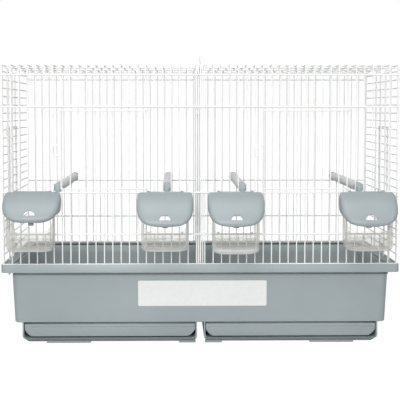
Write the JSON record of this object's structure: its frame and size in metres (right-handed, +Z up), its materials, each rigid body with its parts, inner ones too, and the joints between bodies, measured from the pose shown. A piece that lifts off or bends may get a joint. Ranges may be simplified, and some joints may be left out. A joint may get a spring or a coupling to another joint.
{
  "type": "bird breeding cage",
  "caption": "White wire breeding cage on a deep grey base with drawers, a lift-out divider, front and side doors, outside feeders and perches.",
  "frame": {"origin": "on the surface that the cage stands on, under the middle of its whole outline, feeders included", "axes": "+X to the right seen from the front, +Y towards the back, +Z up"},
  "size_m": [0.6082, 0.3682, 0.4245],
  "materials": {
    "coated_wire": "white powder coat on welded steel wire",
    "tub_plastic": "grey moulded polypropylene, satin",
    "hood_plastic": "grey moulded polypropylene, satin",
    "clear_plastic": "clear moulded polystyrene",
    "perch_plastic": "grey moulded plastic, matte",
    "clip_plastic": "grey moulded plastic",
    "label_film": "blank white label film"
  },
  "bodies": {
    "cage": {"base_tub": "tub_plastic", "tub_floor": "tub_plastic", "divider_ribs": "tub_plastic", "drawer_bay_left": "tub_plastic", "drawer_bay_right": "tub_plastic", "label_plate": "label_film", "floor_grille_left": "coated_wire", "floor_grille_right": "coated_wire", "front_grille": "coated_wire", "back_grille": "coated_wire", "side_grille_left": "coated_wire", "side_grille_right": "coated_wire", "side_guide_left": "coated_wire", "side_guide_right": "coated_wire", "roof_grille_left": "coated_wire", "roof_grille_right": "coated_wire"},
    "drawer_left": {"drawer_left": "tub_plastic"},
    "drawer_right": {"drawer_right": "tub_plastic"},
    "front_door_left": {"front_door_left": "coated_wire"},
    "front_door_right": {"front_door_right": "coated_wire"},
    "side_door_left": {"side_door_left": "coated_wire"},
    "side_door_right": {"side_door_right": "coated_wire"},
    "divider": {"divider": "coated_wire"},
    "feeder_hood_1": {"feeder_hood_1": "hood_plastic"},
    "feeder_hood_2": {"feeder_hood_2": "hood_plastic"},
    "feeder_hood_3": {"feeder_hood_3": "hood_plastic"},
    "feeder_hood_4": {"feeder_hood_4": "hood_plastic"},
    "feeder_cup_1": {"feeder_cup_1": "clear_plastic"},
    "feeder_cup_2": {"feeder_cup_2": "clear_plastic"},
    "feeder_cup_3": {"feeder_cup_3": "clear_plastic"},
    "feeder_cup_4": {"feeder_cup_4": "clear_plastic"},
    "perch_1": {"perch_1": "perch_plastic"},
    "perch_2": {"perch_2": "perch_plastic"},
    "perch_3": {"perch_3": "perch_plastic"},
    "perch_4": {"perch_4": "perch_plastic"},
    "side_clip_left": {"side_clip_left": "clip_plastic"},
    "side_clip_right": {"side_clip_right": "clip_plastic"}
  },
  "joints": [
    {"name": "drawer_left_slide", "type": "slide", "parent": "cage", "child": "drawer_left", "axis": [0, -1, 0], "range_m": [0, 0.235]},
    {"name": "drawer_right_slide", "type": "slide", "parent": "cage", "child": "drawer_right", "axis": [0, -1, 0], "range_m": [0, 0.235]},
    {"name": "front_door_left_hinge", "type": "hinge", "parent": "cage", "child": "front_door_left", "pos_m": [-0.07956, -0.1209, 0.2868], "axis": [0, 0, 1], "range_deg": [0, 110]},
    {"name": "front_door_right_hinge", "type": "hinge", "parent": "cage", "child": "front_door_right", "pos_m": [0.2142, -0.1209, 0.2868], "axis": [0, 0, 1], "range_deg": [0, 110]},
    {"name": "side_door_left_lift", "type": "slide", "parent": "cage", "child": "side_door_left", "axis": [0, 0, 1], "range_m": [0, 0.08]},
    {"name": "side_door_right_lift", "type": "slide", "parent": "cage", "child": "side_door_right", "axis": [0, 0, 1], "range_m": [0, 0.08]},
    {"name": "divider_lift", "type": "slide", "parent": "cage", "child": "divider", "axis": [0, 0, 1], "range_m": [0, 0.38]},
    {"name": "feeder_hood_1_tip", "type": "hinge", "parent": "cage", "child": "feeder_hood_1", "pos_m": [-0.2448, -0.12307, 0.2252], "axis": [1, 0, 0], "range_deg": [-47, 8]},
    {"name": "feeder_hood_2_tip", "type": "hinge", "parent": "cage", "child": "feeder_hood_2", "pos_m": [-0.04896, -0.12307, 0.2252], "axis": [1, 0, 0], "range_deg": [-55, 0]},
    {"name": "feeder_hood_3_tip", "type": "hinge", "parent": "cage", "child": "feeder_hood_3", "pos_m": [0.04896, -0.12307, 0.2252], "axis": [1, 0, 0], "range_deg": [-55, 0]},
    {"name": "feeder_hood_4_tip", "type": "hinge", "parent": "cage", "child": "feeder_hood_4", "pos_m": [0.2448, -0.12307, 0.2252], "axis": [1, 0, 0], "range_deg": [-55, 0]},
    {"name": "feeder_cup_1_unhook", "type": "slide", "parent": "cage", "child": "feeder_cup_1", "axis": [0, 0, 1], "range_m": [0, 0.006]},
    {"name": "feeder_cup_2_unhook", "type": "slide", "parent": "cage", "child": "feeder_cup_2", "axis": [0, 0, 1], "range_m": [0, 0.006]},
    {"name": "feeder_cup_3_unhook", "type": "slide", "parent": "cage", "child": "feeder_cup_3", "axis": [0, -0.1045, 0.9945], "range_m": [0, 0.006]},
    {"name": "feeder_cup_4_unhook", "type": "slide", "parent": "cage", "child": "feeder_cup_4", "axis": [0, 0, 1], "range_m": [0, 0.006]},
    {"name": "perch_1_lift", "type": "slide", "parent": "cage", "child": "perch_1", "axis": [0, 0, 1], "range_m": [0, 0.035]},
    {"name": "perch_2_lift", "type": "slide", "parent": "cage", "child": "perch_2", "axis": [0, 0, 1], "range_m": [0, 0.035]},
    {"name": "perch_3_lift", "type": "slide", "parent": "cage", "child": "perch_3", "axis": [0, 0, 1], "range_m": [0, 0.035]},
    {"name": "perch_4_lift", "type": "slide", "parent": "cage", "child": "perch_4", "axis": [0, 0, 1], "range_m": [0, 0.035]},
    {"name": "side_clip_left_swing", "type": "hinge", "parent": "cage", "child": "side_clip_left", "pos_m": [-0.28981, 0.0291, 0.13239], "axis": [0, 1, 0], "range_deg": [0, 80]},
    {"name": "side_clip_right_swing", "type": "hinge", "parent": "cage", "child": "side_clip_right", "pos_m": [0.28981, 0.0291, 0.13239], "axis": [0, -1, 0], "range_deg": [0, 80]}
  ]
}
